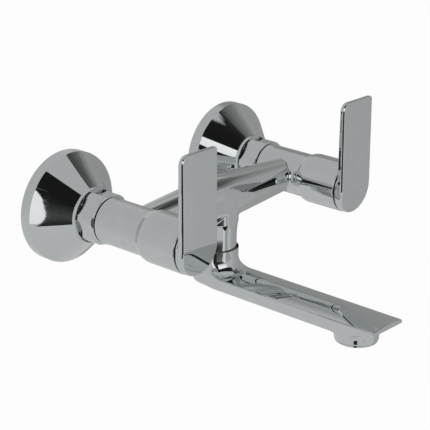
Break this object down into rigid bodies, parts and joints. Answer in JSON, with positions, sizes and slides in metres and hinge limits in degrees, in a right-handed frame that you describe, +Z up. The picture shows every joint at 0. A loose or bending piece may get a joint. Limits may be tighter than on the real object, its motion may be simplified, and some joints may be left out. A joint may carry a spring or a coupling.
{
  "type": "wall-mounted two-handle mixer tap",
  "caption": "Wall-mounted hot and cold mixer with conical flanges, twin flat paddle levers on a tapered crossbar and a flat low swivelling spout.",
  "frame": {"origin": "on the wall plane, midway between the two inlets and level with the valve axes", "axes": "+X to the cold side (right when facing the mixer), +Y into the wall, +Z up; the mixer stands out along -Y"},
  "size_m": [0.2208, 0.2112, 0.1218],
  "materials": {
    "chrome": "polished chrome plate",
    "brass": "turned brass",
    "steel": "bright stainless",
    "ceramic": "lapped alumina ceramic",
    "rubber": "smooth rubber",
    "fibre": "pressed fibre",
    "polymer": "natural acetal"
  },
  "bodies": {
    "root": {"hot_wall_flange": "chrome", "hot_eccentric_leg": "brass", "hot_union_nut": "chrome", "hot_union_washer": "fibre", "hot_inlet_tail": "brass", "hot_bonnet_sleeve": "chrome", "hot_bonnet_washer": "fibre", "hot_cartridge_body": "brass", "hot_fixed_disc": "ceramic", "hot_seat_seal": "rubber", "cold_wall_flange": "chrome", "cold_eccentric_leg": "brass", "cold_union_nut": "chrome", "cold_union_washer": "fibre", "cold_inlet_tail": "brass", "cold_bonnet_sleeve": "chrome", "cold_bonnet_washer": "fibre", "cold_cartridge_body": "brass", "cold_fixed_disc": "ceramic", "cold_seat_seal": "rubber", "mixer_body": "chrome", "neck_screw": "steel"},
    "hot_handle": {"hot_spindle": "brass", "hot_spindle_oring": "rubber", "hot_spindle_clip": "steel", "hot_moving_disc": "ceramic", "hot_lever": "chrome", "hot_lever_screw": "steel"},
    "cold_handle": {"cold_spindle": "brass", "cold_spindle_oring": "rubber", "cold_spindle_clip": "steel", "cold_moving_disc": "ceramic", "cold_lever": "chrome", "cold_lever_screw": "steel"},
    "spout_arm": {"slide_ring": "polymer", "swivel_nipple": "brass", "swivel_orings": "rubber", "spout": "chrome", "aerator_housing": "chrome", "aerator_insert": "polymer", "aerator_seal": "rubber"}
  },
  "joints": [
    {"name": "hot_lever_turn", "type": "hinge", "parent": "root", "child": "hot_handle", "pos_m": [-0.075, 0, 0], "axis": [0, -1, 0], "range_deg": [0, 90]},
    {"name": "cold_lever_turn", "type": "hinge", "parent": "root", "child": "cold_handle", "pos_m": [0.075, 0, 0], "axis": [0, 1, 0], "range_deg": [0, 90]},
    {"name": "spout_swing", "type": "hinge", "parent": "root", "child": "spout_arm", "pos_m": [0, -0.06115, 0], "axis": [0, 0, 1], "range_deg": [-90, 90]}
  ]
}
